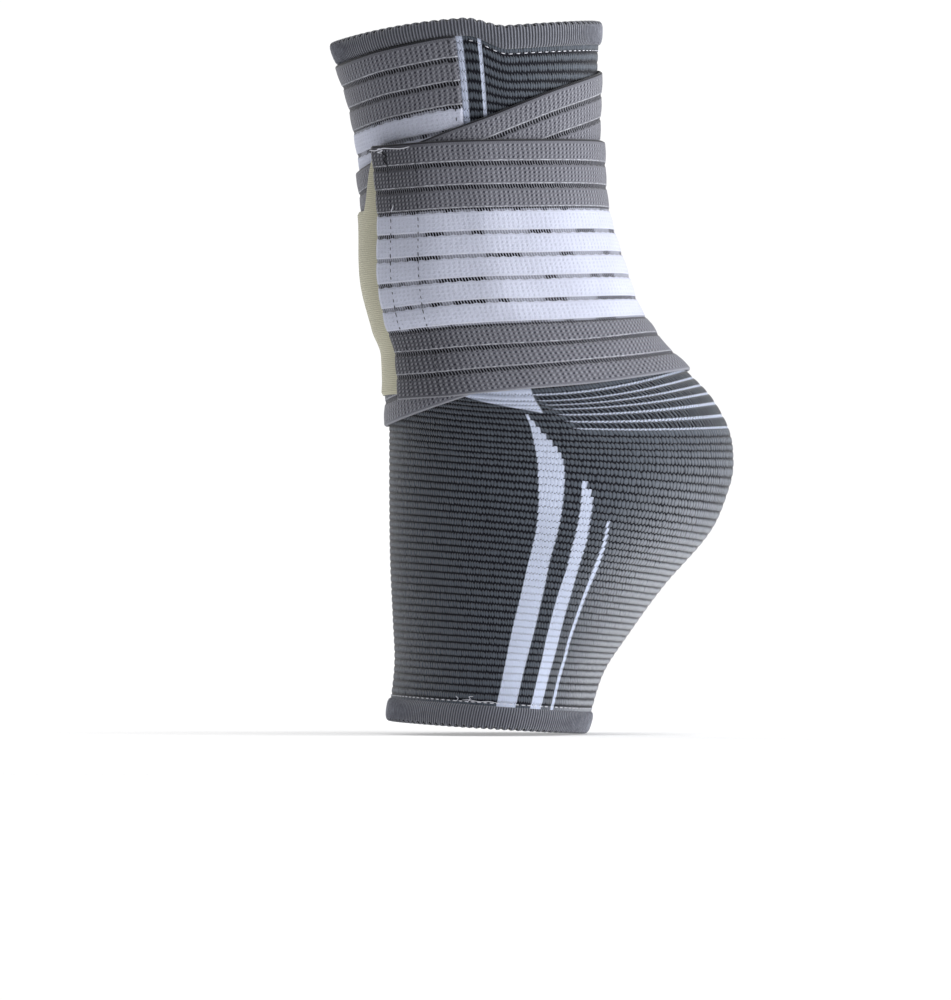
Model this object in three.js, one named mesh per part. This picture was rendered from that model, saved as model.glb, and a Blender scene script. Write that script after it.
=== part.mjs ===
// Ankle brace in millimetres. A knitted elastic sleeve with a closed heel has a rolled cuff
// at each opening. A long elastic strap is sewn on under the leg cuff, is wound a little over
// two turns round the ankle, and ends in a hook tab that holds on the turn below.
// +Z is up the leg, +X points to the heel, and the near side faces -Y. The origin is the
// middle of the ankle. Angles run round the leg: 0 back, 90 near side, 180 front, 270 far side.
import * as THREE from 'three';
import { LoftGeometry } from 'three/addons/geometries/LoftGeometry.js';

// Driving sizes of the sleeve
const braceHeight = 221;
const braceDepth = 124;
const sleeveWidth = 80;
const sleeveWall = 1.8;
const rimLift = 5.2;

// Driving sizes of the cuffs
const legCuffHeight = 6.4;
const footCuffHeight = 6.2;
const cuffThickness = 4.2;
const cuffSqueeze = 0.3;
const seamGap = 0.3;

// Driving sizes of the strap. Its start, its end and the slant of its end are in degrees wound
// round the leg.
const strapWidth = 80;
const strapThickness = 1.2;
const strapBands = 11;
const grooveWidth = 1.1;
const grooveDepth = 0.5;
const strapClearance = 0.45;
const strapSeamGap = 0.6;
const turnGap = 0.3;
const strapStart = 96;
const strapEnd = 862;
const endSlant = 10;

// Driving sizes of the hook tab. Its overlap under the strap, its reach past the strap's end and
// the stretch in which it narrows there are in degrees round the leg.
const tabThickness = 1;
const tabOverlap = 20;
const tabReach = 104;
const tabNeck = 22;
const tabTopInset = 20;
const tabBottomInset = 2;
const tabCorner = 12;

// Fineness of the faceted surfaces
const fullTurn = 360;
const stationsPerTurn = 30;
const sleeveRows = 32;
const meridianSteps = 72;
const innerSteps = 11;
const cuffPoints = 10;
const cornerSteps = [1, 0.55, 0.25, 0.07, 0];
const endMargin = 0.2;
const angleTolerance = 0.01;

const stationStep = fullTurn / stationsPerTurn;
const turnPitch = strapThickness + turnGap;

// Each row is one course of the knit, seen from the side: its place in the knitting order from
// the leg seam to the foot seam, its front and back points as shares of the brace's depth and
// height, its sag between them as a share of the height, its half width as a share of the
// sleeve's width, and how much wider it is towards its back than towards its front.
const courseTable = [
  { course: 0.0, frontX: -0.465, frontZ: 0.473, backX: 0.183, backZ: 0.501, sag: 0.0, half: 0.456, skew: 0.05 },
  { course: 0.06, frontX: -0.433, frontZ: 0.421, backX: 0.178, backZ: 0.425, sag: 0.0, half: 0.444, skew: 0.05 },
  { course: 0.13, frontX: -0.41, frontZ: 0.356, backX: 0.175, backZ: 0.36, sag: 0.0, half: 0.426, skew: 0.0 },
  { course: 0.24, frontX: -0.383, frontZ: 0.26, backX: 0.185, backZ: 0.269, sag: 0.002, half: 0.41, skew: -0.05 },
  { course: 0.34, frontX: -0.377, frontZ: 0.168, backX: 0.231, backZ: 0.18, sag: 0.008, half: 0.418, skew: -0.08 },
  { course: 0.44, frontX: -0.341, frontZ: 0.084, backX: 0.286, backZ: 0.105, sag: 0.02, half: 0.444, skew: -0.1 },
  { course: 0.5, frontX: -0.334, frontZ: 0.029, backX: 0.402, backZ: 0.041, sag: 0.03, half: 0.463, skew: -0.12 },
  { course: 0.53, frontX: -0.336, frontZ: 0.004, backX: 0.464, backZ: 0.005, sag: 0.021, half: 0.467, skew: -0.14 },
  { course: 0.555, frontX: -0.338, frontZ: -0.018, backX: 0.508, backZ: -0.039, sag: 0.012, half: 0.469, skew: -0.15 },
  { course: 0.6, frontX: -0.339, frontZ: -0.056, backX: 0.521, backZ: -0.086, sag: 0.006, half: 0.469, skew: -0.15 },
  { course: 0.625, frontX: -0.339, frontZ: -0.077, backX: 0.513, backZ: -0.118, sag: 0.0, half: 0.469, skew: -0.12 },
  { course: 0.685, frontX: -0.339, frontZ: -0.133, backX: 0.466, backZ: -0.182, sag: -0.004, half: 0.469, skew: -0.05 },
  { course: 0.785, frontX: -0.337, frontZ: -0.224, backX: 0.345, backZ: -0.262, sag: -0.004, half: 0.481, skew: 0.04 },
  { course: 0.88, frontX: -0.33, frontZ: -0.311, backX: 0.248, backZ: -0.337, sag: -0.002, half: 0.494, skew: 0.08 },
  { course: 0.94, frontX: -0.326, frontZ: -0.366, backX: 0.196, backZ: -0.383, sag: 0.0, half: 0.498, skew: 0.09 },
  { course: 1.0, frontX: -0.335, frontZ: -0.421, backX: 0.163, backZ: -0.44, sag: 0.0, half: 0.5, skew: 0.1 },
];

// The strap's upper edge along its winding: the angle wound so far, and the edge's height as a
// share of the brace's height. It goes on past the strap's end, where the hook tab follows it.
const windingTable = [
  { angle: 96, top: 0.508 },
  { angle: 140, top: 0.485 },
  { angle: 180, top: 0.473 },
  { angle: 270, top: 0.468 },
  { angle: 360, top: 0.461 },
  { angle: 405, top: 0.438 },
  { angle: 450, top: 0.39 },
  { angle: 490, top: 0.349 },
  { angle: 540, top: 0.321 },
  { angle: 630, top: 0.341 },
  { angle: 720, top: 0.362 },
  { angle: 810, top: 0.363 },
  { angle: 860, top: 0.357 },
  { angle: 980, top: 0.35 },
];

// Colours of the materials
const knitGrey = 0x4a4e59;
const cuffGrey = 0x3f4148;
const strapGrey = 0x8a8d9c;
const tabKhaki = 0x98967f;

// Where the leg seam is pulled up at the strap's sewn start, in degrees round the leg, and the
// share of the sleeve's courses over which the pull fades
const pull = { backFoot: 72, backTop: 92, frontTop: 98, frontFoot: 175, fade: 0.12 };

// How far a turn of strap stays up beside the edge of a turn below it, and then comes down
const ride = { margin: 3, ramp: 14 };

// How full the cuff's rolled section is: a power under 1 makes it squarer than an oval
const cuffFullness = { high: 0.7, thick: 0.6 };

function smoothStep(low, high, value) {
  return THREE.MathUtils.smoothstep(value, low, high);
}

// A smooth curve through one column of a table, read at a place along its key column.
function tableValue(table, key, column, at) {
  const last = table.length - 1;
  let i = 0;
  while (i < last - 1 && at > table[i + 1][key]) i += 1;
  const [a, b] = [table[i], table[i + 1]];
  const span = b[key] - a[key];
  const before = table[Math.max(i - 1, 0)];
  const after = table[Math.min(i + 2, last)];
  const slopeIn = (b[column] - before[column]) / (b[key] - before[key]);
  const slopeOut = (after[column] - a[column]) / (after[key] - a[key]);
  const t = (at - a[key]) / span;
  const s = 1 - t;
  const ends = a[column] * (1 + 2 * t) * s * s + b[column] * (3 - 2 * t) * t * t;
  return ends + span * (slopeIn * t * s * s - slopeOut * t * t * s);
}

// How much of the pull on the leg seam there is at an angle: all of it over the sewn start.
function seamPull(angle) {
  const back = smoothStep(pull.backFoot, pull.backTop, angle);
  return back * (1 - smoothStep(pull.frontTop, pull.frontFoot, angle));
}

// A point of the sleeve's outer surface.
function sleevePoint(angle, course) {
  const row = (column) => tableValue(courseTable, 'course', column, course);
  const turned = THREE.MathUtils.euclideanModulo(angle, fullTurn);
  const cos = Math.cos(THREE.MathUtils.degToRad(turned));
  const sin = Math.sin(THREE.MathUtils.degToRad(turned));
  const t = (1 + cos) / 2;
  const x = THREE.MathUtils.lerp(row('frontX'), row('backX'), t) * braceDepth;
  const y = -row('half') * sleeveWidth * sin * (1 + row('skew') * cos);
  const level = THREE.MathUtils.lerp(row('frontZ'), row('backZ'), t) - row('sag') * sin * sin;
  const lifted = rimLift * seamPull(turned) * (1 - smoothStep(0, pull.fade, course));
  return new THREE.Vector3(x, y, level * braceHeight + lifted);
}

// The direction in which the knitting runs at a point, and the surface's outward normal there.
function sleeveFrame(angle, course) {
  const step = 0.004;
  const turn = 1.5;
  const low = Math.max(course - step, 0);
  const high = Math.min(course + step, 1);
  const along = sleevePoint(angle, high).sub(sleevePoint(angle, low)).normalize();
  const round = sleevePoint(angle + turn, course).sub(sleevePoint(angle - turn, course)).normalize();
  return { along, normal: new THREE.Vector3().crossVectors(round, along).normalize() };
}

// The distance down the sleeve from the leg seam at each course, at one angle. It is worked
// out once for each angle.
const meridians = new Map();
function meridian(angle) {
  const turned = THREE.MathUtils.euclideanModulo(angle, fullTurn);
  if (!meridians.has(turned)) {
    const marks = [{ course: 0, down: 0 }];
    let last = sleevePoint(turned, 0);
    for (let i = 1; i <= meridianSteps; i += 1) {
      const course = i / meridianSteps;
      const point = sleevePoint(turned, course);
      marks.push({ course, down: marks[i - 1].down + point.distanceTo(last) });
      last = point;
    }
    meridians.set(turned, marks);
  }
  return meridians.get(turned);
}

function courseAtDown(angle, down) {
  const marks = meridian(angle);
  let i = 0;
  while (i < marks.length - 2 && down > marks[i + 1].down) i += 1;
  const [a, b] = [marks[i], marks[i + 1]];
  return THREE.MathUtils.lerp(a.course, b.course, (down - a.down) / (b.down - a.down));
}

function downAtHeight(angle, height) {
  const marks = meridian(angle);
  const level = (mark) => sleevePoint(angle, mark.course).z;
  let i = 0;
  while (i < marks.length - 2 && height < level(marks[i + 1])) i += 1;
  const [high, low] = [level(marks[i]), level(marks[i + 1])];
  const share = THREE.MathUtils.clamp((high - height) / (high - low), 0, 1);
  return THREE.MathUtils.lerp(marks[i].down, marks[i + 1].down, share);
}

// Where the strap's upper edge lies at an angle of its winding, down from the leg seam.
const edges = new Map();
function edgeDown(angle) {
  if (!edges.has(angle)) {
    const height = tableValue(windingTable, 'angle', 'top', angle) * braceHeight;
    edges.set(angle, Math.max(downAtHeight(angle, height), strapSeamGap));
  }
  return edges.get(angle);
}

// How much of one lower turn lies under a place: 1 over the turn, 0 clear of it.
function turnUnder(angle, down) {
  const upper = edgeDown(angle) - ride.margin;
  const lower = edgeDown(angle) + strapWidth + ride.margin;
  return smoothStep(upper - ride.ramp, upper, down) * (1 - smoothStep(lower, lower + ride.ramp, down));
}

// The height above the sleeve at which the winding lies, over all the turns below it.
function windingLift(angle, down) {
  const first = strapStart - stationStep + angleTolerance;
  let lift = strapClearance;
  for (let below = angle - fullTurn; below > first; below -= fullTurn) {
    lift += turnPitch * turnUnder(below, down);
  }
  return lift;
}

// A point on the winding at one of the stations round the leg: a distance across the strap
// from its upper edge, and a height out from its inner face.
function stationPoint(angle, across, out) {
  const down = edgeDown(angle) + across;
  const course = courseAtDown(angle, down);
  const { normal } = sleeveFrame(angle, course);
  return sleevePoint(angle, course).addScaledVector(normal, windingLift(angle, down) + out(angle));
}

// The same point at any angle. Between stations it lies on the flat facets that the sleeve and
// all turns share, so that they nest.
function windingPoint(angle, across, out) {
  const station = Math.floor(angle / stationStep) * stationStep;
  const here = stationPoint(station, across, out);
  const share = (angle - station) / stationStep;
  return share === 0 ? here : here.lerp(stationPoint(station + stationStep, across, out), share);
}

function stationsBetween(start, end) {
  const angles = [start];
  const first = (Math.floor(start / stationStep) + 1) * stationStep;
  for (let angle = first; angle < end; angle += stationStep) angles.push(angle);
  return angles;
}

// The knitted sleeve: an outer and an inner skin, a wall apart, joined at both openings.
function makeSleeve() {
  const depthAt = (course) => [0, 90, 180].map((angle) => {
    const marks = meridian(angle);
    return marks[Math.round(course * meridianSteps)].down / marks[meridianSteps].down;
  }).reduce((sum, share) => sum + share) / 3;
  const evenCourse = (share) => {
    let i = 0;
    while (i < meridianSteps - 1 && depthAt((i + 1) / meridianSteps) < share) i += 1;
    const [a, b] = [depthAt(i / meridianSteps), depthAt((i + 1) / meridianSteps)];
    return (i + (share - a) / (b - a)) / meridianSteps;
  };
  const courses = Array.from({ length: sleeveRows + 1 }, (_, i) => evenCourse(i / sleeveRows));
  const sections = [];
  for (let i = 0; i <= stationsPerTurn; i += 1) {
    const angle = (i % stationsPerTurn) * stationStep;
    const skin = (depth) => courses.map((course) => {
      const { normal } = sleeveFrame(angle, course);
      return sleevePoint(angle, course).addScaledVector(normal, -depth);
    });
    sections.push([...skin(sleeveWall), ...skin(0).reverse()]);
  }
  return new LoftGeometry(sections);
}

// A rolled cuff: a rounded band that goes on from one end of the sleeve, past its seam. Where
// the leg seam is pulled up, its cuff is squeezed.
function makeCuff(course, outward, fullHeight) {
  const sections = [];
  for (let i = 0; i <= stationsPerTurn; i += 1) {
    const angle = (i % stationsPerTurn) * stationStep;
    const seam = sleevePoint(angle, course);
    const { along, normal } = sleeveFrame(angle, course);
    const height = fullHeight * (1 - (course === 0 ? cuffSqueeze * seamPull(angle) : 0));
    const ring = Array.from({ length: cuffPoints }, (_, k) => {
      const roll = (2 * Math.PI * k) / cuffPoints;
      const soft = (value, power) => Math.sign(value) * Math.abs(value) ** power;
      const away = seamGap + (height / 2) * (1 + soft(Math.cos(roll), cuffFullness.high));
      const thick = (cuffThickness / 2) * soft(Math.sin(roll), cuffFullness.thick);
      const out = thick - sleeveWall / 2;
      return seam.clone().addScaledVector(along, outward * away).addScaledVector(normal, out);
    });
    sections.push(outward > 0 ? ring : ring.reverse());
  }
  return new LoftGeometry(sections);
}

// Across the strap: raised bands with a ladder groove between each two, and a flat inner face.
function strapProfile() {
  const bandPitch = strapWidth / strapBands;
  const softEdge = grooveWidth / 2;
  const outer = [{ across: 0, out: strapThickness / 2 }, { across: softEdge, out: strapThickness }];
  for (let i = 1; i < strapBands; i += 1) {
    const middle = i * bandPitch;
    outer.push({ across: middle - grooveWidth / 2, out: strapThickness });
    outer.push({ across: middle, out: strapThickness - grooveDepth });
    outer.push({ across: middle + grooveWidth / 2, out: strapThickness });
  }
  outer.push({ across: strapWidth - softEdge, out: strapThickness });
  outer.push({ across: strapWidth, out: strapThickness / 2 });
  const inner = Array.from({ length: innerSteps + 1 }, (_, i) => {
    const across = THREE.MathUtils.lerp(softEdge, strapWidth - softEdge, 1 - i / innerSteps);
    return { across, out: 0 };
  });
  return [...outer, ...inner].reverse();
}

// The strap's end rides over the hook tab that is sewn under it.
function makeStrap() {
  const profile = strapProfile();
  const tabStart = strapEnd - tabOverlap;
  const firstOver = tabStart - stationStep + angleTolerance;
  const overTab = (angle) => (angle > firstOver ? tabThickness + turnGap : 0);
  const ring = (angleAt) => profile.map(({ across, out }) => (
    windingPoint(angleAt(across), across, (angle) => out + overTab(angle))
  ));
  const endAt = (across) => strapEnd + endSlant * (across / strapWidth);
  const sections = stationsBetween(strapStart, strapEnd + endSlant).map((angle) => {
    const beforeEnd = endMargin + endMargin * (strapEnd + endSlant - angle);
    return ring((across) => Math.min(angle, endAt(across) - beforeEnd));
  });
  sections.push(ring(endAt));
  return new LoftGeometry(sections, { capStart: true, capEnd: true });
}

// The hook tab: it starts under the strap's end, narrows from above past it, and has two
// round corners at its own end.
function makeTab() {
  const start = strapEnd - tabOverlap;
  const end = strapEnd + tabReach;
  const middle = strapWidth / 2;
  const endPoint = windingPoint(end, middle, () => 0);
  const stride = endPoint.distanceTo(windingPoint(end - stationStep, middle, () => 0));
  const cornerTurn = (tabCorner / stride) * stationStep;
  const angles = stationsBetween(start, end - cornerTurn);
  cornerSteps.forEach((share) => angles.push(end - cornerTurn * share));
  const cornerInset = (angle) => {
    const into = THREE.MathUtils.clamp(1 - (end - angle) / cornerTurn, 0, 1);
    return tabCorner * (1 - Math.sqrt(1 - into * into));
  };
  const sections = angles.map((angle) => {
    const narrowed = smoothStep(strapEnd, strapEnd + tabNeck, angle);
    const upper = THREE.MathUtils.lerp(tabBottomInset, tabTopInset, narrowed) + cornerInset(angle);
    const lower = strapWidth - tabBottomInset - cornerInset(angle);
    const across = Array.from({ length: innerSteps + 1 }, (_, i) => (
      THREE.MathUtils.lerp(upper, lower, i / innerSteps)
    ));
    const inner = across.map((place) => windingPoint(angle, place, () => 0));
    const outer = across.map((place) => windingPoint(angle, place, () => tabThickness)).reverse();
    return [...inner, ...outer];
  });
  return new LoftGeometry(sections, { capStart: true, capEnd: true });
}

function addPiece(group, name, geometry, color, roughness) {
  const material = new THREE.MeshStandardMaterial({ color, roughness, metalness: 0 });
  const mesh = new THREE.Mesh(geometry, material);
  mesh.name = name;
  group.add(mesh);
}

const brace = new THREE.Group();
addPiece(brace, 'knit_sleeve', makeSleeve(), knitGrey, 0.95);
addPiece(brace, 'leg_cuff', makeCuff(0, -1, legCuffHeight), cuffGrey, 0.95);
addPiece(brace, 'foot_cuff', makeCuff(1, 1, footCuffHeight), cuffGrey, 0.95);
addPiece(brace, 'wrap_strap', makeStrap(), strapGrey, 0.9);
addPiece(brace, 'hook_tab', makeTab(), tabKhaki, 0.95);

export default brace;
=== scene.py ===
"""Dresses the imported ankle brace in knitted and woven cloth.

Metres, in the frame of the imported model: +Z up the leg, +X to the heel, near side at -Y.
Angles are in degrees round the leg: 0 back, 90 near side, 180 front, 270 far side.
"""

import math

import bmesh
import bpy
import numpy as np
from bpy.props import FloatProperty, FloatVectorProperty, IntProperty, PointerProperty
from bpy.types import Operator, Panel, PropertyGroup
from mathutils import Matrix, Vector


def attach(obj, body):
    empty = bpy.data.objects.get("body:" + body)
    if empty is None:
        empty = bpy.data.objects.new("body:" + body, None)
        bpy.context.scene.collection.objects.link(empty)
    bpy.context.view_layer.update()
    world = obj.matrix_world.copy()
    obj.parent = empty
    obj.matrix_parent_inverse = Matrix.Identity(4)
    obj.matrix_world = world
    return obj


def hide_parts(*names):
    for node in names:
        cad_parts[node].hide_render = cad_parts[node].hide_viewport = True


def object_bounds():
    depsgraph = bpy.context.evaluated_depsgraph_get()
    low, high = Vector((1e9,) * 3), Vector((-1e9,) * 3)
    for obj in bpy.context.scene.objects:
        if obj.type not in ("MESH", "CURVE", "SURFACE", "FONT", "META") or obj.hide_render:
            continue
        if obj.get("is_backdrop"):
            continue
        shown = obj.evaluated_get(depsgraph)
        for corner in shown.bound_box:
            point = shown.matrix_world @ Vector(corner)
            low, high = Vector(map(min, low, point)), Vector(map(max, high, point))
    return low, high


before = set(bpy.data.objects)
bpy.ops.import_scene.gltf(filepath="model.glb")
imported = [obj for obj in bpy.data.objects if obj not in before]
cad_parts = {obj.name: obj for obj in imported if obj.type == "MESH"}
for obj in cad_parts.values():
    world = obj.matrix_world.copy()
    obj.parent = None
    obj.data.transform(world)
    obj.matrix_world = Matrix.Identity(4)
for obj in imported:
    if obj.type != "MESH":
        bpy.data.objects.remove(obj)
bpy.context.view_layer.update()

bl_info = {
    "name": "Wrapped ankle brace",
    "version": (1, 0, 0),
    "blender": (4, 5, 0),
    "location": "View3D > Sidebar > Brace",
    "description": "Knitted sleeve, rolled cuffs, wound strap and hook tab of an ankle brace",
    "category": "Object",
}

# Form of the sleeve
BRACE_HEIGHT = 0.221
BRACE_DEPTH = 0.124
SLEEVE_WIDTH = 0.080
SLEEVE_WALL = 0.0018
RIM_LIFT = 0.0052
MERIDIAN_STEPS = 72
PULL = {"back foot": 72, "back top": 92, "front top": 98, "front foot": 175, "fade": 0.12}

# Form of the cuffs
LEG_CUFF_HEIGHT = 0.0064
FOOT_CUFF_HEIGHT = 0.0062
CUFF_THICKNESS = 0.0042
CUFF_SQUEEZE = 0.3
SEAM_GAP = 0.0003
SEAM_OVERLAP = 0.0012
RIBS_PER_NOTCH = 3
NOTCH_DEPTH = 0.0006

# Form of the strap and the hook tab
STRAP_WIDTH = 0.080
STRAP_THICKNESS = 0.0012
STRAP_BANDS = 11
STRAP_CLEARANCE = 0.00045
STRAP_SEAM_GAP = 0.0006
TURN_PITCH = 0.0015
TURN_GAP = 0.0003
STRAP_START = 96
STRAP_END = 862
STRAP_EDGE_ROUND = 0.0008
STRAP_BACK_INSET = 0.0004
END_SLANT = 10
END_SLANT_TURN = 30
EDGE_MARGIN = 0.0030
EDGE_RAMP = 0.0090
START_RAMP = 24
TAB_THICKNESS = 0.0010
TAB_OVERLAP = 20
TAB_REACH = 104
TAB_NECK = 22
TAB_TOP_INSET = 0.020
TAB_BOTTOM_INSET = 0.002
TAB_CORNER = 0.012

# Knitting: wales round the sleeve and courses down it. The heel has part of a course more,
# and its wales crowd to the back. Both begin and end at these places down the sleeve.
WALES = 168
COURSES = 95
HEEL_COURSE, HEEL_COURSE_PLACE = 0.8, (0.495, 0.56)
HEEL_CROWD, HEEL_CROWD_BEGINS, HEEL_CROWD_EASES = 0.22, (0.3, 0.55), (0.75, 1.0)
LOOPS_PER_WALE = 1.6
HEEL_LOOPS_PER_WALE = 1.2

# Weave of the strap and the tab, in millimetres: the white bands are the fourth to the eighth
MM = 1000.0
STRAP_MM = STRAP_WIDTH * MM
BAND_MM = STRAP_MM / STRAP_BANDS
WHITE_BANDS = (3, 8)
SCALLOP_MM = 3.75
BEAD_MM = 3.6
TOOTH_MM = 0.94
WEAVE_ROW_MM = 1.22
WEAVE_COLUMN_MM = 1.62
FILLING_MM = 0.68
TAB_RIB_MM = 0.62
TAB_MM_PER_DEGREE = 0.75
# Where painted shade darkens the grey bands before the strap's end, on the side turned from the
# light
END_SHADE_MM = (-34.0, -10.0)

# Places across one band of the strap that its mesh needs, closer at the groove
BAND_POINTS = np.array([
    0.0, 0.04, 0.075, 0.11, 0.15, 0.24, 0.38, 0.5, 0.62, 0.76, 0.85, 0.89, 0.925, 0.96,
])

# Sewing: a cuff's seam has its place down the sleeve and two angles. The strap's stitch
# lines lie some degrees before its end and after its start.
SEAM_STITCH_TURN = 3.6
SEAM_STITCH_LIFT = 0.00016
LEG_SEAM_STITCHES = (0.0090, 183.0, 451.0)
FOOT_SEAM_STITCHES = (0.9920, 0.0, 360.0)
HEM_LINES = (9.3, 24.0)
HEM_STITCH_GAP = 0.0022
START_LINE = 3.0
START_STITCH_GAP = 0.0030
LAST_STITCH = 0.0785
THREAD_LIFT = 0.00012
LOOSE_THREAD_LIFT = 0.0005

# Threads left at the end of the strap: degrees before its end, and place across it
HEM_TAIL = ((-0.5, 0.0011), (3.0, 0.0015), (8.0, 0.0010), (13.0, 0.0013), (18.0, 0.0015),
            (22.0, 0.0011))

# Threads left at the foot seam: angle and place down the sleeve
FOOT_TAILS = (
    ((110.5, 0.9930), (109.3, 0.9890), (110.9, 0.9850)),
    ((103.6, 0.9940), (102.4, 0.9880), (103.2, 0.9850), (100.8, 0.9840)),
    ((107.0, 0.9905), (102.5, 0.9896), (97.0, 0.9912), (92.0, 0.9900), (86.0, 0.9915)),
)

# Stage: the camera sees the brace as the photograph does
PIXEL = 0.00031
PHOTO_HEIGHT = 1000.0
PHOTO_MIDDLE = (475.5, 500.0)
ANKLE_PIXEL = (525.0, 400.0)
CAMERA_DISTANCE = 5.0
SENSOR_WIDTH = 36.0
FLOOR_RADIUS = 0.75
FLOOR_GAP = 0.0002
FLOOR_GLOW = 0.30
SKY_LIGHT = 0.24
SKY_SEEN = 0.80

# Each light's name, place, size and power
LIGHTS = (
    ("key", (1.75, -0.90, 0.10), 0.7, 14.0),
    ("heel", (1.60, -0.10, -0.02), 0.8, 22.0),
    ("top", (0.25, -0.30, 1.70), 1.2, 14.0),
    ("back fill", (-1.20, 1.60, 0.60), 1.2, 20.0),
)

# Each row is one course seen from the side: its place down the sleeve, its front and back
# points as shares of depth and height, its sag, its half width, and its back's extra width.
COURSE_TABLE = np.array([
    (0.0, -0.465, 0.473, 0.183, 0.501, 0.0, 0.456, 0.05),
    (0.06, -0.433, 0.421, 0.178, 0.425, 0.0, 0.444, 0.05),
    (0.13, -0.41, 0.356, 0.175, 0.36, 0.0, 0.426, 0.0),
    (0.24, -0.383, 0.26, 0.185, 0.269, 0.002, 0.41, -0.05),
    (0.34, -0.377, 0.168, 0.231, 0.18, 0.008, 0.418, -0.08),
    (0.44, -0.341, 0.084, 0.286, 0.105, 0.02, 0.444, -0.1),
    (0.5, -0.334, 0.029, 0.402, 0.041, 0.03, 0.463, -0.12),
    (0.53, -0.336, 0.004, 0.464, 0.005, 0.021, 0.467, -0.14),
    (0.555, -0.338, -0.018, 0.508, -0.039, 0.012, 0.469, -0.15),
    (0.6, -0.339, -0.056, 0.521, -0.086, 0.006, 0.469, -0.15),
    (0.625, -0.339, -0.077, 0.513, -0.118, 0.0, 0.469, -0.12),
    (0.685, -0.339, -0.133, 0.466, -0.182, -0.004, 0.469, -0.05),
    (0.785, -0.337, -0.224, 0.345, -0.262, -0.004, 0.481, 0.04),
    (0.88, -0.33, -0.311, 0.248, -0.337, -0.002, 0.494, 0.08),
    (0.94, -0.326, -0.366, 0.196, -0.383, 0.0, 0.498, 0.09),
    (1.0, -0.335, -0.421, 0.163, -0.44, 0.0, 0.5, 0.1),
])
FRONT_X, FRONT_Z, BACK_X, BACK_Z, SAG, HALF, SKEW = range(1, 8)

# The strap's upper edge: the angle wound so far, and its height as a share of the brace's.
WINDING_TABLE = np.array([
    (96, 0.508),
    (140, 0.485),
    (180, 0.473),
    (270, 0.468),
    (360, 0.461),
    (405, 0.438),
    (450, 0.39),
    (490, 0.349),
    (540, 0.321),
    (630, 0.341),
    (720, 0.362),
    (810, 0.363),
    (860, 0.357),
    (980, 0.35),
])


class BraceSizes(PropertyGroup):
    """Sizes of the cloth's surface."""

    course_relief: FloatProperty(
        name="Course relief", description="How deep the gaps between the knitted courses are",
        default=0.00024, unit="LENGTH")
    groove_depth: FloatProperty(
        name="Groove depth", description="Depth of the ladder grooves between the strap's bands",
        default=0.00026, unit="LENGTH")
    groove_width: FloatProperty(
        name="Groove width", description="Width of a ladder groove at the strap's face",
        default=0.0014, unit="LENGTH")
    band_crown: FloatProperty(
        name="Band crown", description="How far the middle of a strap band stands up",
        default=0.00018, unit="LENGTH")
    rib_depth: FloatProperty(
        name="Rib depth", description="Depth of the ribs of the cuffs",
        default=0.00030, unit="LENGTH")
    rib_count: IntProperty(
        name="Cuff ribs", description="Ribs round a cuff", default=252, min=60)
    stitch_length: FloatProperty(
        name="Stitch length", description="Length of one stitch of the cuff seam",
        default=0.0014, unit="LENGTH")
    thread_radius: FloatProperty(
        name="Thread radius", description="Radius of the sewing thread",
        default=0.00019, unit="LENGTH")


class BraceColours(PropertyGroup):
    """Colours of the yarns."""

    knit_grey: FloatVectorProperty(
        name="Knit grey", description="Grey yarn of the sleeve", subtype="COLOR", size=3,
        default=(0.084, 0.099, 0.125))
    # Painted light: a paler colour for the knit under the sole
    sole_light_grey: FloatVectorProperty(
        name="Sole grey", description="Painted light on the knit under the sole", subtype="COLOR", size=3,
        default=(0.46, 0.48, 0.53))
    # Painted shade: laid in the gaps and strokes between the knit's loops, the marks between the
    # heel lines, and the cuffs' rib gaps and notches
    knit_shade: FloatVectorProperty(
        name="Knit gap", description="Painted shade in the gaps of the knit", subtype="COLOR",
        size=3, default=(0.003, 0.004, 0.010))
    knit_white: FloatVectorProperty(
        name="Knit white", description="White yarn of the stripes and heel lines",
        subtype="COLOR", size=3, default=(0.60, 0.66, 0.83))
    cuff_grey: FloatVectorProperty(
        name="Cuff grey", description="Rib knit of the cuffs", subtype="COLOR", size=3,
        default=(0.115, 0.120, 0.145))
    strap_grey: FloatVectorProperty(
        name="Strap grey", description="Grey bands of the strap", subtype="COLOR", size=3,
        default=(0.188, 0.192, 0.225))
    strap_white: FloatVectorProperty(
        name="Strap white", description="White bands of the strap", subtype="COLOR", size=3,
        default=(0.62, 0.65, 0.79))
    tab_khaki: FloatVectorProperty(
        name="Tab khaki", description="Webbing of the hook tab", subtype="COLOR", size=3,
        default=(0.55, 0.53, 0.405))
    thread_white: FloatVectorProperty(
        name="White thread", description="Light sewing thread", subtype="COLOR", size=3,
        default=(0.75, 0.76, 0.84))
    thread_dark: FloatVectorProperty(
        name="Dark thread", description="Dark sewing thread", subtype="COLOR", size=3,
        default=(0.012, 0.013, 0.020))
    floor_white: FloatVectorProperty(
        name="Floor", description="Pale floor under the brace", subtype="COLOR", size=3,
        default=(0.97, 0.97, 0.975))


def smooth(low, high, value):
    t = np.clip((value - low) / (high - low), 0.0, 1.0)
    return t * t * (3.0 - 2.0 * t)


def table_column(table, column, at):
    """Reads a smooth curve through one column of a table, keyed by its first column."""
    keys = table[:, 0]
    values = table[:, column]
    slopes = np.empty(len(keys))
    slopes[1:-1] = (values[2:] - values[:-2]) / (keys[2:] - keys[:-2])
    slopes[0] = (values[1] - values[0]) / (keys[1] - keys[0])
    slopes[-1] = (values[-1] - values[-2]) / (keys[-1] - keys[-2])
    i = np.clip(np.searchsorted(keys, at, side="right") - 1, 0, len(keys) - 2)
    span = keys[i + 1] - keys[i]
    t = (at - keys[i]) / span
    s = 1.0 - t
    ends = values[i] * (1.0 + 2.0 * t) * s * s + values[i + 1] * (3.0 - 2.0 * t) * t * t
    return ends + span * (slopes[i] * t * s * s - slopes[i + 1] * t * t * s)


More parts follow.
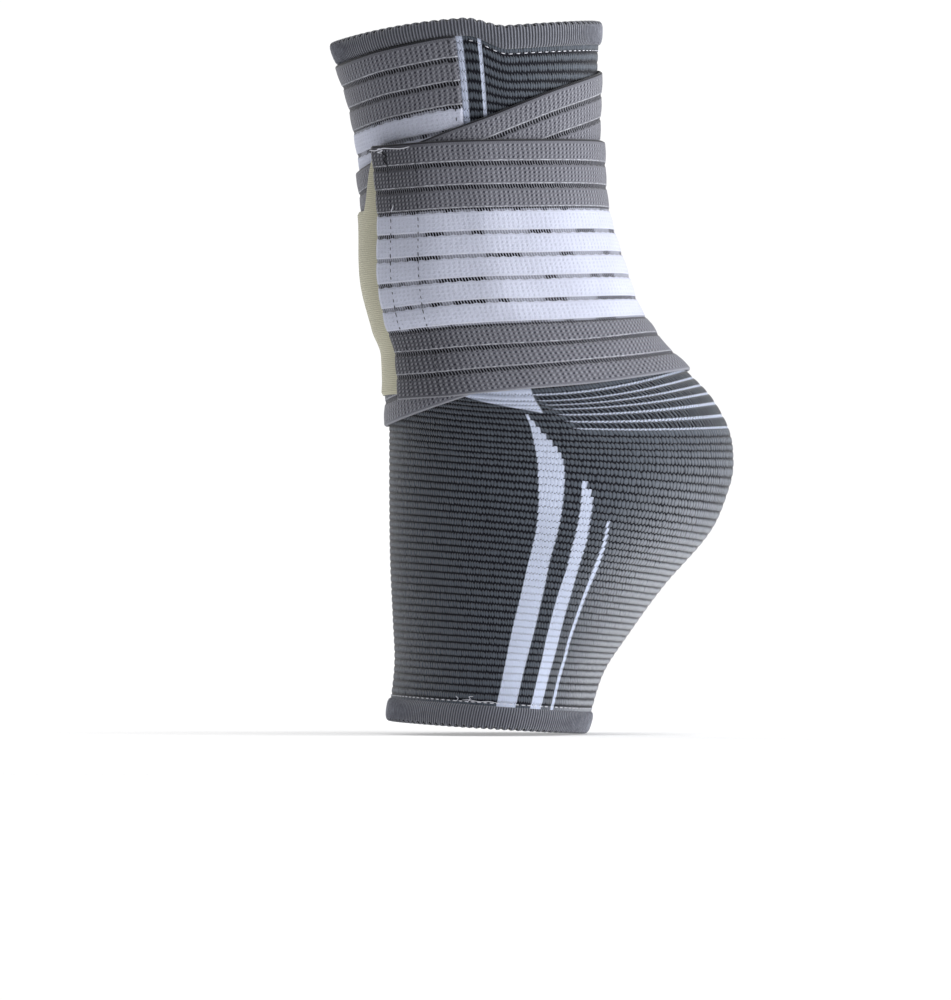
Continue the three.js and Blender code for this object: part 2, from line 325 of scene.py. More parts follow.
def seam_pull(angle):
    """How far the leg seam is pulled up, from 0 to 1, at an angle."""
    turned = np.mod(angle, 360.0)
    back = smooth(PULL["back foot"], PULL["back top"], turned)
    return back * (1.0 - smooth(PULL["front top"], PULL["front foot"], turned))


def sleeve_point(angle, course):
    """Points of the sleeve's outer surface."""
    angle, course = np.broadcast_arrays(np.asarray(angle, float), np.asarray(course, float))
    turn = np.radians(angle)
    cos, sin = np.cos(turn), np.sin(turn)
    t = (1.0 + cos) / 2.0
    front_x = table_column(COURSE_TABLE, FRONT_X, course)
    back_x = table_column(COURSE_TABLE, BACK_X, course)
    front_z = table_column(COURSE_TABLE, FRONT_Z, course)
    back_z = table_column(COURSE_TABLE, BACK_Z, course)
    x = (front_x + (back_x - front_x) * t) * BRACE_DEPTH
    skew = 1.0 + table_column(COURSE_TABLE, SKEW, course) * cos
    y = -table_column(COURSE_TABLE, HALF, course) * SLEEVE_WIDTH * sin * skew
    level = front_z + (back_z - front_z) * t - table_column(COURSE_TABLE, SAG, course) * sin**2
    lifted = RIM_LIFT * seam_pull(angle) * (1.0 - smooth(0.0, PULL["fade"], course))
    return np.stack([x, y, level * BRACE_HEIGHT + lifted], axis=-1)


def unit(vectors):
    return vectors / np.linalg.norm(vectors, axis=-1, keepdims=True)


def sleeve_frame(angle, course):
    """The direction of knitting and the outward normal of the sleeve's surface."""
    step, turn = 0.004, 1.5
    low, high = np.maximum(course - step, 0.0), np.minimum(course + step, 1.0)
    along = unit(sleeve_point(angle, high) - sleeve_point(angle, low))
    around = unit(sleeve_point(angle + turn, course) - sleeve_point(angle - turn, course))
    return along, unit(np.cross(around, along))


def row_lookup(keys, values, at):
    """Reads one value for each row of two tables, between rising keys."""
    i = np.clip((keys < at[:, None]).sum(axis=1) - 1, 0, keys.shape[1] - 2)
    row = np.arange(len(at))
    share = (at - keys[row, i]) / (keys[row, i + 1] - keys[row, i])
    return values[row, i] + np.clip(share, 0.0, 1.0) * (values[row, i + 1] - values[row, i])


def meridian(angle):
    """Courses, distances down from the leg seam, and heights, one row for each angle."""
    marks = np.linspace(0.0, 1.0, MERIDIAN_STEPS + 1)
    points = sleeve_point(angle[:, None], marks[None, :])
    steps = np.linalg.norm(np.diff(points, axis=1), axis=-1)
    down = np.concatenate([np.zeros((len(angle), 1)), np.cumsum(steps, axis=1)], axis=1)
    return np.broadcast_to(marks, down.shape), down, points[..., 2]


def edge_down(angle):
    """How far down from the leg seam the strap's upper edge lies."""
    height = table_column(WINDING_TABLE, 1, angle) * BRACE_HEIGHT
    _, down, level = meridian(angle)
    return np.maximum(row_lookup(-level, down, -height), STRAP_SEAM_GAP)


def winding_lift(angle, down):
    """How far above the sleeve the winding lies, over the turns below it."""
    lift = np.full(len(angle), STRAP_CLEARANCE)
    for turns in (1, 2):
        below = angle - 360.0 * turns
        there = smooth(STRAP_START - START_RAMP, STRAP_START, below)
        held = np.maximum(below, STRAP_START)
        upper = edge_down(held) - EDGE_MARGIN
        lower = edge_down(held) + STRAP_WIDTH + EDGE_MARGIN
        over = smooth(upper - EDGE_RAMP, upper, down)
        over = over * (1.0 - smooth(lower, lower + EDGE_RAMP, down))
        lift = lift + TURN_PITCH * over * there
    return lift


def winding_points(angle, across, out):
    """Points on the winding: across the strap from its upper edge, and out from its back."""
    down = edge_down(angle) + across
    courses, downs, _ = meridian(angle)
    course = row_lookup(downs, courses, down)
    _, normal = sleeve_frame(angle, course)
    lift = winding_lift(angle, down) + out
    return sleeve_point(angle, course) + normal * lift[:, None]


def knit_course(course):
    """The number of knitted courses down to a place. The heel has more than the front."""
    return (COURSES - HEEL_COURSE) * course + HEEL_COURSE * smooth(*HEEL_COURSE_PLACE, course)


def knit_wale(angle, course):
    """The number of wales round to a place. They crowd towards the back of the heel."""
    crowd = HEEL_CROWD * smooth(*HEEL_CROWD_BEGINS, course)
    crowd = crowd * (1.0 - 0.6 * smooth(*HEEL_CROWD_EASES, course))
    return WALES * (angle / 360.0 - crowd * np.sin(np.radians(angle)) / (2.0 * math.pi))


def cloth_grid(name, points, chart):
    """A mesh made from a bmesh grid: each of its points is moved to its place, and the chart
    is stored as the UV map cloth. Edges that meet are merged and open ends are capped."""
    columns, rows = points.shape[0] - 1, points.shape[1] - 1
    piece = bmesh.new()
    bmesh.ops.create_grid(piece, x_segments=columns, y_segments=rows, size=1.0)
    mesh = bpy.data.meshes.new(name)
    piece.to_mesh(mesh)
    piece.free()
    flat = np.empty(len(mesh.vertices) * 3)
    mesh.vertices.foreach_get("co", flat)
    flat = flat.reshape(-1, 3)
    low, span = flat.min(axis=0), np.ptp(flat, axis=0)
    i = np.rint((flat[:, 0] - low[0]) / span[0] * columns).astype(int)
    j = np.rint((flat[:, 1] - low[1]) / span[1] * rows).astype(int)
    mesh.vertices.foreach_set("co", points[i, j].ravel())
    corner = np.empty(len(mesh.loops), int)
    mesh.loops.foreach_get("vertex_index", corner)
    layer = mesh.uv_layers.new(name="cloth")
    layer.data.foreach_set("uv", chart[i, j][corner].ravel())
    close_cloth(mesh)
    return mesh


def close_cloth(mesh):
    piece = bmesh.new()
    piece.from_mesh(mesh)
    bmesh.ops.remove_doubles(piece, verts=piece.verts[:], dist=1e-7)
    open_edges = [edge for edge in piece.edges if edge.is_boundary]
    if open_edges:
        caps = bmesh.ops.holes_fill(piece, edges=open_edges, sides=0)["faces"]
        bmesh.ops.triangulate(piece, faces=caps)
    bmesh.ops.recalc_face_normals(piece, faces=piece.faces[:])
    for face in piece.faces:
        face.smooth = True
    piece.to_mesh(mesh)
    piece.free()
    mesh.update()


def place_piece(name, mesh, material, replaces=()):
    """Links a finished mesh as a piece of the brace, in a material of the given name."""
    piece = bpy.data.objects.new(name, mesh)
    bpy.context.scene.collection.objects.link(piece)
    mesh.materials.clear()
    mesh.materials.append(bpy.data.materials[material])
    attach(piece, "root")
    if replaces:
        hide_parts(*replaces)
    return piece


class NodeDesk:
    """Adds nodes to one node tree. An input is a number, a colour or another node's output."""

    def __init__(self, tree):
        self.tree = tree

    def add(self, kind, inputs=None, **settings):
        node = self.tree.nodes.new(kind)
        for key, value in settings.items():
            setattr(node, key, value)
        for key, value in (inputs or {}).items():
            self.feed(node.inputs[key], value)
        return node

    def feed(self, socket, value):
        if isinstance(value, bpy.types.NodeSocket):
            self.tree.links.new(value, socket)
        else:
            socket.default_value = value

    def math(self, operation, *values):
        node = self.add("ShaderNodeMath", operation=operation)
        for socket, value in zip(node.inputs, values):
            self.feed(socket, value)
        return node.outputs[0]

    def plus(self, first, second):
        return self.math("ADD", first, second)

    def minus(self, first, second):
        return self.math("SUBTRACT", first, second)

    def times(self, first, *others):
        for other in others:
            first = self.math("MULTIPLY", first, other)
        return first

    def scaled(self, value, factor, base):
        """A value times a factor, on top of a base."""
        return self.math("MULTIPLY_ADD", value, factor, base)

    def phase(self, value):
        return self.math("FRACT", value)

    def either(self, *masks):
        total = masks[0]
        for mask in masks[1:]:
            total = self.math("MAXIMUM", total, mask)
        return total

    def ease(self, low, high, value):
        """A smooth step from 0 at low to 1 at high."""
        inputs = {0: value, 1: low, 2: high}
        return self.add("ShaderNodeMapRange", inputs, interpolation_type="SMOOTHSTEP").outputs[0]

    def near(self, value, middle, half, soft):
        """1 within half of the middle, and 0 past a soft edge."""
        away = self.math("ABSOLUTE", self.minus(value, middle))
        return self.ease(self.plus(half, soft), half, away)

    def blend(self, share, first, second, mode="MIX"):
        inputs = {0: share, 6: first, 7: second}
        return self.add("ShaderNodeMix", inputs, data_type="RGBA", blend_type=mode).outputs[2]

    def pair(self, first, second):
        """A vector with two values as its X and Y."""
        return self.add("ShaderNodeCombineXYZ", {0: first, 1: second}).outputs[0]

    def noise(self, vector, scale, detail=2.0, roughness=0.5):
        settings = {"Vector": vector, "Scale": scale, "Detail": detail, "Roughness": roughness}
        return self.add("ShaderNodeTexNoise", settings).outputs[0]

    def curve(self, value, low, high, points, top):
        """A smooth curve through given points of a value from low to high."""
        share = self.add("ShaderNodeMapRange", {0: value, 1: low, 2: high}).outputs[0]
        node = self.add("ShaderNodeFloatCurve", {"Value": share})
        track = node.mapping.curves[0]
        while len(track.points) < len(points):
            track.points.new(0.5, 0.5)
        for point, (at, height) in zip(track.points, points):
            point.location = ((at - low) / (high - low), height / top)
            point.handle_type = "AUTO_CLAMPED"
        node.mapping.update()
        return self.times(node.outputs[0], top)


def new_group(name, inputs, outputs):
    """A shader node group of number sockets. Returns its desk, its inputs and its output."""
    tree = bpy.data.node_groups.new(name, "ShaderNodeTree")
    for label, default in inputs.items():
        socket = tree.interface.new_socket(label, in_out="INPUT", socket_type="NodeSocketFloat")
        socket.default_value = default
    for label in outputs:
        tree.interface.new_socket(label, in_out="OUTPUT", socket_type="NodeSocketFloat")
    desk = NodeDesk(tree)
    return desk, desk.add("NodeGroupInput").outputs, desk.add("NodeGroupOutput")


def yarn_fuzz_group():
    """Uneven dye and fibre of a yarn: a brightness and a fine height."""
    inputs = {"Dye": 0.12, "Fibre": 0.10}
    desk, given, result = new_group("Yarn fuzz", inputs, ("Tone", "Height"))
    place = desk.add("ShaderNodeTexCoord").outputs["Object"]
    dye = desk.minus(desk.noise(place, 55.0, 3.0, 0.6), 0.5)
    fibre = desk.minus(desk.noise(place, 2600.0, 2.0, 0.7), 0.5)
    tone = desk.scaled(dye, desk.times(given["Dye"], 2.0), 1.0)
    tone = desk.scaled(fibre, desk.times(given["Fibre"], 2.0), tone)
    desk.feed(result.inputs["Tone"], tone)
    desk.feed(result.inputs["Height"], fibre)
    return desk.tree


def knit_loops_group():
    """Knitted courses and wales: where the gaps and the strokes between loops are. The knit
    paints the gaps, strokes and dots as shade, and the loops as light on their crowns.
    """
    inputs = {"Wale": 0.0, "Course": 0.0, "Gap": 0.12, "Dots": 0.1, "Stroke": 0.5,
              "Stroke length": 0.6}
    outputs = ("Gaps", "Strokes", "Loops", "Dots", "Height")
    desk, given, result = new_group("Knit loops", inputs, outputs)
    wobble = desk.pair(given["Wale"], given["Course"])
    uneven = desk.minus(desk.noise(wobble, 0.9, 1.0), 0.5)
    patch = desk.minus(desk.noise(wobble, 0.37, 2.0), 0.5)
    course = desk.phase(desk.scaled(uneven, 0.20, given["Course"]))
    wale = desk.phase(desk.scaled(uneven, 1.10, given["Wale"]))
    lean = desk.phase(desk.scaled(course, 0.45, wale))
    wave = desk.math("COSINE", desk.times(lean, 2.0 * math.pi))
    dot = desk.scaled(wave, 0.5, 0.5)
    half = desk.scaled(dot, given["Dots"], given["Gap"])
    half = desk.scaled(patch, 0.16, half)
    edge = desk.math("PINGPONG", course, 0.5)
    gaps = desk.ease(desk.plus(half, 0.09), desk.minus(half, 0.05), edge)
    side = desk.math("PINGPONG", lean, 0.5)
    line = desk.ease(0.17, 0.04, side)
    reach = desk.ease(desk.minus(1.0, given["Stroke length"]), 1.0, course)
    strokes = desk.times(line, reach, given["Stroke"])
    bulge = desk.math("SINE", desk.times(course, math.pi))
    loops = desk.times(desk.ease(0.06, 0.34, side), bulge)
    height = desk.scaled(loops, 0.6, desk.times(bulge, 0.5))
    height = desk.minus(height, desk.times(gaps, 0.6))
    dots = desk.times(desk.ease(0.62, 0.95, dot), desk.ease(0.24, 0.06, edge))
    for label, value in zip(outputs, (gaps, strokes, loops, dots, height)):
        desk.feed(result.inputs[label], value)
    return desk.tree


def thread_ribs_group():
    """Fine parallel ribs, as on rib knit and on webbing. The cloths paint their gaps as shade and
    their crests as highlight.
    """
    inputs = {"Across": 0.0, "Along": 0.0, "Wander": 0.08}
    desk, given, result = new_group("Thread ribs", inputs, ("Gap", "Crest", "Height"))
    uneven = desk.minus(desk.noise(desk.pair(given["Across"], given["Along"]), 0.7, 1.0), 0.5)
    shifted = desk.phase(desk.scaled(uneven, given["Wander"], given["Across"]))
    edge = desk.math("PINGPONG", shifted, 0.5)
    desk.feed(result.inputs["Gap"], desk.ease(0.20, 0.04, edge))
    desk.feed(result.inputs["Crest"], desk.ease(0.36, 0.48, edge))
    desk.feed(result.inputs["Height"], desk.ease(0.0, 0.5, edge))
    return desk.tree


def group_node(desk, name, **inputs):
    node = desk.add("ShaderNodeGroup", node_tree=bpy.data.node_groups[name])
    for label, value in inputs.items():
        desk.feed(node.inputs[label.replace("_", " ")], value)
    return node.outputs


def cloth_material(name, sheen, roughness):
    """A material with a cloth shader, and the desk to lay its nodes on."""
    material = bpy.data.materials.new(name)
    material.use_nodes = True
    tree = material.node_tree
    shader = tree.nodes["Principled BSDF"]
    shader.inputs["Roughness"].default_value = roughness
    shader.inputs["Sheen Weight"].default_value = sheen
    shader.inputs["Sheen Roughness"].default_value = 0.45
    shader.inputs["Specular IOR Level"].default_value = 0.18
    return material, NodeDesk(tree), shader


def cloth_place(desk):
    """The wale or the distance along, and the course or the distance across, of a point."""
    chart = desk.add("ShaderNodeUVMap", uv_map="cloth").outputs[0]
    split = desk.add("ShaderNodeSeparateXYZ", {0: chart})
    return split.outputs[0], split.outputs[1]


def toned(desk, colour, tone):
    """A colour made lighter or darker by a tone that varies round 1."""
    grey = desk.add("ShaderNodeCombineColor", {0: tone, 1: tone, 2: tone}).outputs[0]
    return desk.blend(1.0, colour, grey, "MULTIPLY")


def dress(desk, shader, colour, height, distance, strength):
    """Feeds a cloth's colour to its shader, and its height as a bump."""
    desk.feed(shader.inputs["Base Color"], colour)
    inputs = {"Height": height, "Distance": distance, "Strength": strength}
    desk.feed(shader.inputs["Normal"], desk.add("ShaderNodeBump", inputs).outputs[0])


# Colours that lie over a part of a cloth's own colour. The white knit gap, teeth and webbing gap
# tints are painted shade, the cuff crest and ridge tints painted highlight, and the upper edge
# tint a painted shadow; the others are the weave's own colours.
TINTS = {
    "white knit gap": (0.10, 0.11, 0.14, 1),
    "cuff crest": (0.40, 0.42, 0.50, 1),
    "grey speck": (0.56, 0.57, 0.64, 1),
    "grey filling": (0.07, 0.07, 0.09, 1),
    "grey dot": (0.02, 0.02, 0.035, 1),
    "white dot": (0.30, 0.33, 0.45, 1),
    "white filling": (0.35, 0.37, 0.48, 1),
    "slot": (0.34, 0.35, 0.41, 1),
    "teeth": (0.002, 0.002, 0.005, 1),
    "ridge": (0.70, 0.72, 0.80, 1),
    "upper edge shadow": (0.004, 0.004, 0.008, 1),
    "lower rim": (0.62, 0.64, 0.72, 1),
    "webbing gap": (0.10, 0.095, 0.06, 1),
}

# Stripes of the near side, which the far side mirrors. A stripe has two edges, and each edge
# is a few points of a knitted course and a wale counted from the back.
STRIPES = {
    "wide": (
        [(51, 40.9), (55, 40.6), (60, 39.6), (65, 38.3),
         (70, 37.0), (76, 36.4), (84, 37.3), (96, 38.5)],
        [(51, 40.6), (53, 39.6), (57, 36.5), (59, 35.7),
         (65, 34.4), (72, 32.9), (78, 32.1), (96, 33.4)],
    ),
    "medium": (
        [(61, 32.5), (65, 31.5), (70, 30.2), (75, 29.1),
         (80, 29.2), (84, 29.2), (88, 28.9), (96, 29.4)],
        [(61, 32.0), (63, 30.3), (66, 29.4), (70, 28.0),
         (76, 26.7), (82, 26.4), (88, 25.9), (96, 26.4)],
    ),
    "thin": (
        [(66, 26.7), (70, 25.2), (74, 24.3), (78, 24.1),
         (84, 24.0), (88, 23.4), (92, 23.4), (96, 23.4)],
        [(66, 26.3), (70, 24.6), (74, 23.5), (78, 23.4),
         (84, 23.3), (88, 22.6), (92, 22.5), (96, 22.6)],
    ),
}
STRIPE_COURSES = (50.0, 96.0)
STRIPE_WALES = 60.0
STRIPE_BLUR = 0.12

# The white wedge above the wide stripe: its back edge, and its lower edge's course and slope
WEDGE_WALE, WEDGE_TOP, WEDGE_FOOT, WEDGE_SLOPE = 38.0, 44.0, 50.7, -0.205
# The white lines above the strap: the wale of each and half its width
UPPER_LINES, UPPER_LINES_FOOT = ((44.1, 0.60), (39.9, 0.30)), 22.0

# The white lines round the heel: the first one's course and last wale, and how much sooner
# the next ones end
LINE_COURSE, LINE_WALE, LINE_SLOPE = 47.5, 37.5, -0.75

# Where a change of the knit, or the painted light under the sole, begins and is full: wales from
# the back, or courses
LINES_BEGIN, LINES_END = (46.6, 46.8), (53.3, 53.2)
HEEL_WALES, HEEL_COURSES, HEEL_FOOT = (36.0, 22.0), (44.0, 54.0), (99.0, 84.0)
SOLE_LIGHT_WALES, SOLE_LIGHT_COURSES = (31.0, 10.0), (50.0, 74.0)


def stripe_mask(desk, folded, row, course):
    """Where the white yarn of the stripes, the wedge and the upper lines lies."""
    masks = []
    for left, right in STRIPES.values():
        outer = desk.curve(row, *STRIPE_COURSES, left, STRIPE_WALES)
        inner = desk.curve(row, *STRIPE_COURSES, right, STRIPE_WALES)
        inside = desk.times(desk.ease(-STRIPE_BLUR, STRIPE_BLUR, desk.minus(outer, folded)),
                            desk.ease(-STRIPE_BLUR, STRIPE_BLUR, desk.minus(folded, inner)))
        masks.append(desk.times(inside, desk.math("GREATER_THAN", course, left[0][0])))
    foot = desk.scaled(desk.minus(folded, WEDGE_WALE), WEDGE_SLOPE, WEDGE_FOOT)
    wedge = desk.times(desk.ease(WEDGE_WALE - 0.4, WEDGE_WALE - 0.1, folded),
                       desk.ease(0.15, -0.15, desk.minus(course, foot)),
                       desk.math("GREATER_THAN", course, WEDGE_TOP))
    masks.append(wedge)
    upper = desk.math("LESS_THAN", course, UPPER_LINES_FOOT)
    for wale, half in UPPER_LINES:
        masks.append(desk.times(desk.near(folded, wale, half, 0.2), upper))
    return desk.either(*masks)


def heel_lines(desk, folded, row, course, wale):
    """The courses that hold the white lines round the heel, the lines, and the dark marks of
    painted shade between them."""
    line_end = desk.scaled(desk.minus(row, LINE_COURSE), LINE_SLOPE, LINE_WALE)
    held = desk.times(desk.ease(*LINES_BEGIN, course), desk.ease(*LINES_END, course),
                      desk.ease(0.8, -0.8, desk.minus(folded, line_end)))
    line_phase = desk.phase(desk.plus(course, 0.12))
    slant = desk.scaled(line_phase, 0.8, desk.times(wale, HEEL_LOOPS_PER_WALE))
    half = desk.scaled(desk.math("PINGPONG", slant, 0.5), 0.15, 0.050)
    line = desk.times(held, desk.near(line_phase, 0.12, half, 0.05))
    mark = desk.times(desk.near(desk.phase(slant), 0.5, 0.27, 0.08),
                      desk.near(line_phase, 0.66, 0.26, 0.07))
    return held, line, mark


def sleeve_material(colours):
    _, desk, shader = cloth_material("Knit", 0.35, 0.86)
    wale, course = cloth_place(desk)
    from_front = desk.math("ABSOLUTE", desk.minus(wale, WALES / 2.0))
    folded = desk.minus(WALES / 2.0, from_front)
    row = desk.plus(desk.math("FLOOR", course), 0.5)
    white = stripe_mask(desk, folded, row, course)
    heel_rows, heel_line, mark = heel_lines(desk, folded, row, course, wale)
    heel = desk.times(desk.ease(*HEEL_WALES, folded), desk.ease(*HEEL_COURSES, course),
                      desk.ease(*HEEL_FOOT, course))
    # Painted light: where the knit is made paler under the sole
    sole = desk.times(desk.ease(*SOLE_LIGHT_WALES, folded), desk.ease(*SOLE_LIGHT_COURSES, course))
    loops = group_node(desk, "Knit loops", Wale=desk.times(wale, LOOPS_PER_WALE), Course=course,
                       Gap=desk.scaled(heel, -0.085, 0.080), Dots=0.24,
                       Stroke=desk.scaled(heel, 0.55, 0.30),
                       Stroke_length=desk.scaled(heel, 0.15, 0.60))
    fuzz = group_node(desk, "Yarn fuzz", Dye=0.16, Fibre=0.22)

    gap_shade = (*colours.knit_shade, 1)
    grey = toned(desk, (*colours.knit_grey, 1), fuzz["Tone"])
    # Painted light: the knit turns paler under the sole
    grey = desk.blend(desk.times(sole, 0.62), grey, (*colours.sole_light_grey, 1))
    # Painted light and shade on each loop: lighter at its crown, darker towards its edges
    grey = toned(desk, grey, desk.scaled(loops["Loops"], 0.45, 0.70))
    pale = toned(desk, (*colours.knit_white, 1), fuzz["Tone"])
    # Painted shade: dark dots in the gaps between the white loops
    pale = desk.blend(desk.times(loops["Dots"], 0.90), pale, TINTS["white knit gap"])
    # Painted shade in the gaps and strokes between the loops
    colour = desk.blend(desk.either(loops["Gaps"], loops["Strokes"]), grey, gap_shade)
    colour = desk.blend(white, colour, pale)

    plain = desk.minus(1.0, white)
    # Painted shade: dark marks in the gaps of the rows that hold the heel lines
    between = desk.blend(desk.times(mark, heel_rows, plain), grey, gap_shade)
    colour = desk.blend(desk.times(heel_rows, plain), colour, between)
    colour = desk.blend(desk.times(heel_line, 0.95), colour, pale)

    height = desk.times(loops["Height"], desk.scaled(white, -0.6, 1.0))
    height = desk.scaled(fuzz["Height"], 0.35, height)
    height = desk.scaled(heel_line, 0.6, height)
    dress(desk, shader, colour, height, 0.00035, 0.8)


def cuff_material(colours):
    _, desk, shader = cloth_material("Cuff rib", 0.50, 0.88)
    rib, roll = cloth_place(desk)
    ribs = group_node(desk, "Thread ribs", Across=rib, Along=roll, Wander=0.2)
    fuzz = group_node(desk, "Yarn fuzz", Dye=0.14, Fibre=0.20)
    gap_shade = (*colours.knit_shade, 1)
    colour = toned(desk, (*colours.cuff_grey, 1), fuzz["Tone"])
    # Painted shade in the gaps between the ribs
    colour = desk.blend(desk.times(ribs["Gap"], 0.70), colour, gap_shade)
    # Painted highlight on the crest of each rib
    colour = desk.blend(desk.times(ribs["Crest"], 0.60), colour, TINTS["cuff crest"])
    # Painted shade in the notches of the picot rim; the notches also sink the bump
    notch_phase = desk.phase(desk.scaled(rib, 1.0 / RIBS_PER_NOTCH, 0.5))
    notch = desk.times(desk.near(notch_phase, 0.5, 0.14, 0.08), desk.near(roll, 1.6, 0.9, 0.5))
    colour = desk.blend(notch, colour, gap_shade)
    height = desk.scaled(fuzz["Height"], 0.3, ribs["Height"])
    height = desk.scaled(notch, -1.5, height)
    dress(desk, shader, colour, height, 0.0002, 0.7)


def strap_ladder(desk, along, across, groove, from_groove, white):
    """The ladder between two bands: its slot, its dark teeth of painted shade, and its beaded
    ridge with a painted highlight.
    """
    inner = desk.times(desk.math("GREATER_THAN", across, BAND_MM / 2),
                       desk.math("LESS_THAN", across, STRAP_MM - BAND_MM / 2))
    cell = desk.pair(desk.times(along, 0.11), desk.times(groove, 7.3))
    scallop = desk.math("ABSOLUTE", desk.math("SINE", desk.times(along, math.pi / SCALLOP_MM)))
    foot = desk.scaled(scallop, 0.34, desk.scaled(white, -0.16, 0.54))
    slot = desk.times(desk.ease(-0.66, -0.50, from_groove),
                      desk.ease(desk.plus(foot, 0.12), desk.minus(foot, 0.08), from_groove),
                      inner)
    # Painted shade: the dark teeth are the ladder's openings, darkest on the grey bands; they
    # also sink the bump
    tooth = desk.phase(desk.scaled(from_groove, 0.25, desk.math("DIVIDE", along, TOOTH_MM)))
    on_grey = desk.minus(1.0, desk.times(white, 0.66))
    darkness = desk.either(desk.ease(0.44, 0.56, desk.noise(cell, 1.0, 1.0)),
                           desk.times(on_grey, 0.95), 0.45)
    teeth = desk.times(slot, desk.near(tooth, 0.5, 0.33, 0.06), darkness)
    # Painted highlight: the pale tint of the beaded ridge above each groove; the ridge also
    # raises the bump
    bead = desk.math("ABSOLUTE", desk.math("COSINE", desk.times(along, math.pi / BEAD_MM)))
    ridge_place = desk.scaled(bead, 0.12, -0.92)
    ridge = desk.times(desk.near(from_groove, ridge_place, 0.09, 0.12), inner)
    beads = desk.ease(0.30, 0.75, desk.noise(cell, 9.0, 1.0))
    return slot, teeth, desk.times(ridge, desk.scaled(beads, 0.8, 0.2))


def strap_weave(desk, along, across):
    """The weave of a band: its dark dots, its light specks and its filling yarn."""
    row_phase = desk.phase(desk.math("DIVIDE", across, WEAVE_ROW_MM))
    shade = desk.pair(desk.times(along, 0.5), across)
    drift = desk.minus(desk.noise(shade, 0.35, 2.0), 0.5)
    column = desk.scaled(across, 0.010, desk.math("DIVIDE", along, WEAVE_COLUMN_MM))
    column = desk.scaled(drift, 0.55, column)
    column_phase = desk.phase(desk.scaled(row_phase, -0.30, column))
    dot = desk.times(desk.near(row_phase, 0.5, 0.20, 0.18),
                     desk.near(column_phase, 0.3, 0.15, 0.14))
    frayed = desk.ease(0.34, 0.60, desk.noise(shade, 1.9, 2.0))
    dot = desk.times(dot, desk.scaled(frayed, 0.7, 0.3))
    light = desk.times(desk.near(column_phase, 0.80, 0.13, 0.20),
                       desk.near(row_phase, 0.5, 0.16, 0.24))
    filling = desk.phase(desk.scaled(across, 0.55, desk.math("DIVIDE", along, FILLING_MM)))
    return dot, light, desk.near(filling, 0.5, 0.2, 0.2)


def strap_material(colours):
    """Charted in millimetres: U along the strap up to 0 at its end, V across it from its
    upper edge."""
    _, desk, shader = cloth_material("Strap elastic", 0.22, 0.84)
    along, across = cloth_place(desk)
    fuzz = group_node(desk, "Yarn fuzz", Dye=0.12, Fibre=0.20)
    first, last = (BAND_MM * band for band in WHITE_BANDS)
    white = desk.times(desk.ease(first - 0.2, first + 0.1, across),
                       desk.ease(last + 0.1, last - 0.2, across))
    band = desk.math("DIVIDE", across, BAND_MM)
    groove = desk.math("ROUND", band)
    from_groove = desk.times(desk.minus(band, groove), BAND_MM)
    slot, teeth, ridge = strap_ladder(desk, along, across, groove, from_groove, white)
    dot, light, filling = strap_weave(desk, along, across)
    woven = desk.times(desk.ease(0.85, 1.1, desk.math("ABSOLUTE", from_groove)),
                       desk.ease(0.7, 1.2, across),
                       desk.ease(STRAP_MM - 0.7, STRAP_MM - 1.2, across))

    # Painted shade: the grey bands darken towards the strap's end, on the side turned from the
    # light
    end_shade = desk.ease(*END_SHADE_MM, along)
    grey = toned(desk, (*colours.strap_grey, 1), fuzz["Tone"])
    grey = toned(desk, grey, desk.scaled(end_shade, -0.52, 1.0))
    grey = desk.blend(desk.times(light, woven, 0.34), grey, TINTS["grey speck"])
    grey = desk.blend(desk.times(filling, 0.30), grey, TINTS["grey filling"])
    grey = desk.blend(desk.times(dot, woven, 0.88), grey, TINTS["grey dot"])
    pale = toned(desk, (*colours.strap_white, 1), fuzz["Tone"])
    pale = desk.blend(desk.times(dot, woven, 0.16), pale, TINTS["white dot"])
    pale = desk.blend(desk.times(filling, 0.06), pale, TINTS["white filling"])
    colour = desk.blend(white, grey, pale)
    # Painted shadow: a dark line along the strap's upper edge
    upper_edge_shadow = desk.ease(0.80, 0.40, across)
    lower_rim = desk.ease(STRAP_MM - 0.55, STRAP_MM - 0.25, across)
    for share, part, tint in ((0.50, slot, "slot"), (1.0, teeth, "teeth"), (0.75, ridge, "ridge"),
                              (0.90, upper_edge_shadow, "upper edge shadow"), (0.22, lower_rim, "lower rim")):
        colour = desk.blend(desk.times(part, share), colour, TINTS[tint])

    height = desk.times(desk.minus(1.0, dot), woven)
    for share, part in ((0.10, light), (0.2, filling), (0.9, ridge), (-1.6, teeth),
                        (0.4, fuzz["Height"])):
        height = desk.scaled(part, share, height)
    dress(desk, shader, colour, height, 0.00022, 0.8)


def tab_material(colours):
    _, desk, shader = cloth_material("Tab webbing", 0.15, 0.86)
    along, across = cloth_place(desk)
    rib = desk.math("DIVIDE", across, TAB_RIB_MM)
    ribs = group_node(desk, "Thread ribs", Across=rib, Along=along, Wander=0.25)
    fuzz = group_node(desk, "Yarn fuzz", Dye=0.10, Fibre=0.16)
    colour = toned(desk, (*colours.tab_khaki, 1), fuzz["Tone"])
    # Painted shade in the gaps between the webbing's ribs
    colour = desk.blend(desk.times(ribs["Gap"], 0.35), colour, TINTS["webbing gap"])
    dress(desk, shader, colour, desk.scaled(fuzz["Height"], 0.3, ribs["Height"]), 0.00015, 0.8)


def thread_material(name, colour):
    _, desk, shader = cloth_material(name, 0.3, 0.7)
    fuzz = group_node(desk, "Yarn fuzz", Dye=0.05, Fibre=0.25)
    dress(desk, shader, toned(desk, (*colour, 1), fuzz["Tone"]), fuzz["Height"], 0.0001, 0.6)


